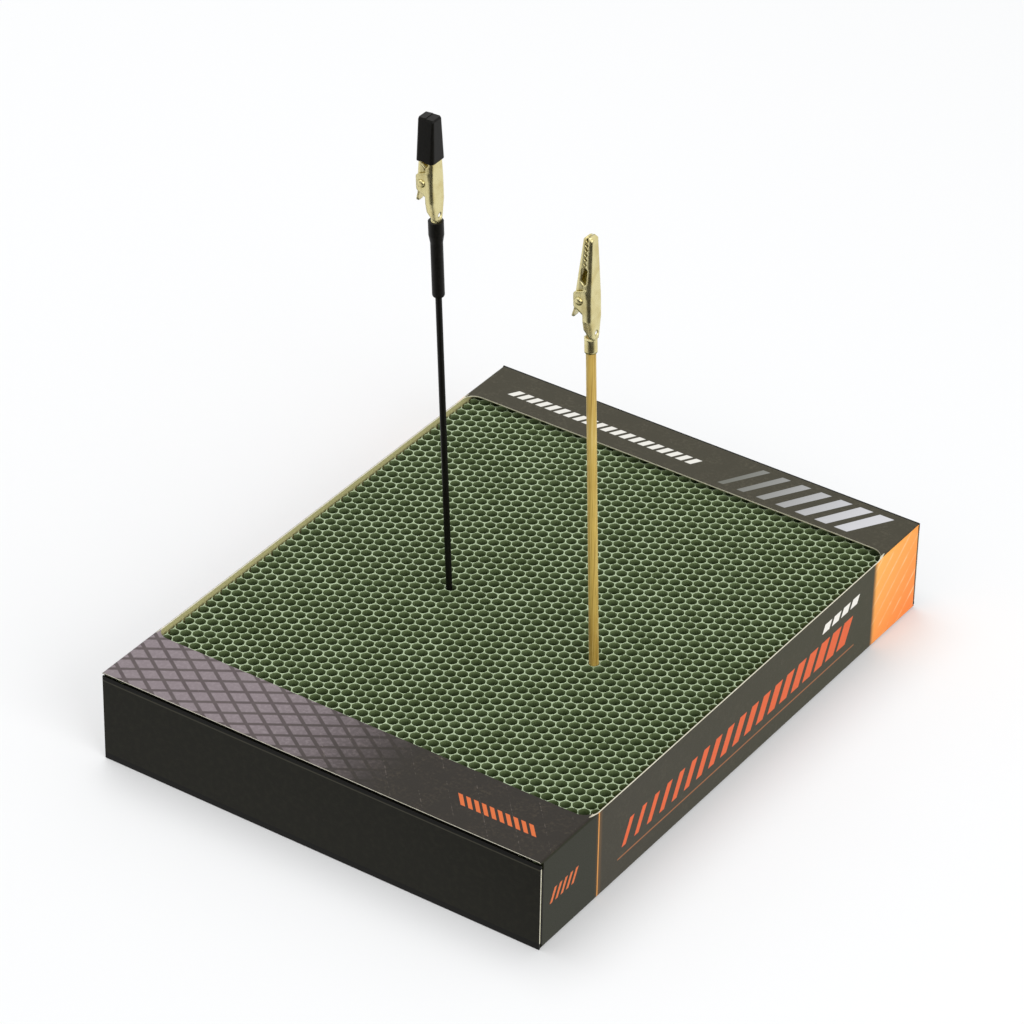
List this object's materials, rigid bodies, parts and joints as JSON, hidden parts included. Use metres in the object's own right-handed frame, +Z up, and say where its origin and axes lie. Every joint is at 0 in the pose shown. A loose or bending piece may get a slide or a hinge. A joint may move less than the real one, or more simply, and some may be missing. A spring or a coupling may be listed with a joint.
{
  "type": "painting clip stand",
  "caption": "Flat card carton with a window over a green honeycomb block; spring clips on thin rods stand in its cells to hold small parts for painting.",
  "frame": {"origin": "middle of the carton's underside, on the table", "axes": "+X across the carton to its printed right side, +Y from the front end to the rear end, +Z up"},
  "size_m": [0.15, 0.2, 0.1842],
  "materials": {
    "card": "printed, satin",
    "honeycomb": "matt, slightly translucent",
    "rod_paint": "black satin",
    "rubber": "matt",
    "clip_plate": "plated, pale gold",
    "spring_steel": "drawn wire",
    "bamboo": "raw, split and rounded"
  },
  "bodies": {
    "carton": {"carton_sleeve": "card", "honeycomb_left": "honeycomb", "honeycomb_middle": "honeycomb", "honeycomb_right": "honeycomb"},
    "front_panel": {"front_end_panel": "card"},
    "front_tuck": {"front_tuck_flap": "card"},
    "front_dust_left": {"front_dust_flap_left": "card"},
    "front_dust_right": {"front_dust_flap_right": "card"},
    "rear_panel": {"rear_end_panel": "card"},
    "rear_tuck": {"rear_tuck_flap": "card"},
    "rear_dust_left": {"rear_dust_flap_left": "card"},
    "rear_dust_right": {"rear_dust_flap_right": "card"},
    "rod": {"black_rod": "rod_paint", "shrink_sleeve": "rubber", "clip_a_fixed_jaw": "clip_plate", "clip_a_pivot_rivet": "clip_plate", "clip_a_spring": "spring_steel", "clip_a_cover_fixed": "rubber"},
    "jaw_a": {"clip_a_moving_jaw": "clip_plate", "clip_a_cover_moving": "rubber"},
    "stick": {"bamboo_stick": "bamboo", "clip_b_fixed_jaw": "clip_plate", "clip_b_pivot_rivet": "clip_plate", "clip_b_spring": "spring_steel"},
    "jaw_b": {"clip_b_moving_jaw": "clip_plate"}
  },
  "joints": [
    {"name": "front_panel_hinge", "type": "hinge", "parent": "carton", "child": "front_panel", "pos_m": [0, -0.1, 0], "axis": [1, 0, 0], "range_deg": [0, 90]},
    {"name": "front_tuck_fold", "type": "hinge", "parent": "front_panel", "child": "front_tuck", "pos_m": [0, -0.0995, 0.0282], "axis": [1, 0, 0], "range_deg": [-52, 0]},
    {"name": "front_dust_left_fold", "type": "hinge", "parent": "carton", "child": "front_dust_left", "pos_m": [-0.075, -0.0994, 0.015], "axis": [0, 0, -1], "range_deg": [0, 23]},
    {"name": "front_dust_right_fold", "type": "hinge", "parent": "carton", "child": "front_dust_right", "pos_m": [0.075, -0.0994, 0.015], "axis": [0, 0, 1], "range_deg": [0, 23]},
    {"name": "rear_panel_hinge", "type": "hinge", "parent": "carton", "child": "rear_panel", "pos_m": [0, 0.1, 0.03], "axis": [1, 0, 0], "range_deg": [0, 90]},
    {"name": "rear_tuck_fold", "type": "hinge", "parent": "rear_panel", "child": "rear_tuck", "pos_m": [0, 0.0995, 0.00135], "axis": [1, 0, 0], "range_deg": [-54.5, 0]},
    {"name": "rear_dust_left_fold", "type": "hinge", "parent": "carton", "child": "rear_dust_left", "pos_m": [-0.075, 0.0994, 0.015], "axis": [0, 0, 1], "range_deg": [0, 23]},
    {"name": "rear_dust_right_fold", "type": "hinge", "parent": "carton", "child": "rear_dust_right", "pos_m": [0.075, 0.0994, 0.015], "axis": [0, 0, -1], "range_deg": [0, 23]},
    {"name": "rod_pull", "type": "slide", "parent": "carton", "child": "rod", "axis": [-0.0319, -0.0215, 0.9993], "range_m": [0, 0.04]},
    {"name": "stick_pull", "type": "slide", "parent": "carton", "child": "stick", "axis": [-0.0271, -0.0183, 0.9995], "range_m": [0, 0.04]},
    {"name": "clip_a_jaw", "type": "hinge", "parent": "rod", "child": "jaw_a", "pos_m": [-0.02771, -0.00911, 0.16392], "axis": [0.0003, -0.9998, -0.0215], "range_deg": [0, 26], "stiffness_Nm_per_rad": 0.02, "springref_deg": -45.84, "deforming": ["clip_a_spring"]},
    {"name": "clip_b_jaw", "type": "hinge", "parent": "stick", "child": "jaw_b", "pos_m": [0.02879, -0.01513, 0.14928], "axis": [0.0002, -0.9998, -0.0183], "range_deg": [0, 30], "stiffness_Nm_per_rad": 0.02, "springref_deg": -45.84, "deforming": ["clip_b_spring"]}
  ],
  "couplings": [
    {"joint": "front_tuck_fold", "follows": "front_panel_hinge", "ratio": -0.57},
    {"joint": "front_dust_left_fold", "follows": "front_panel_hinge", "ratio": 0.25},
    {"joint": "front_dust_right_fold", "follows": "front_panel_hinge", "ratio": 0.25},
    {"joint": "rear_tuck_fold", "follows": "rear_panel_hinge", "ratio": -0.6},
    {"joint": "rear_dust_left_fold", "follows": "rear_panel_hinge", "ratio": 0.25},
    {"joint": "rear_dust_right_fold", "follows": "rear_panel_hinge", "ratio": 0.25}
  ]
}
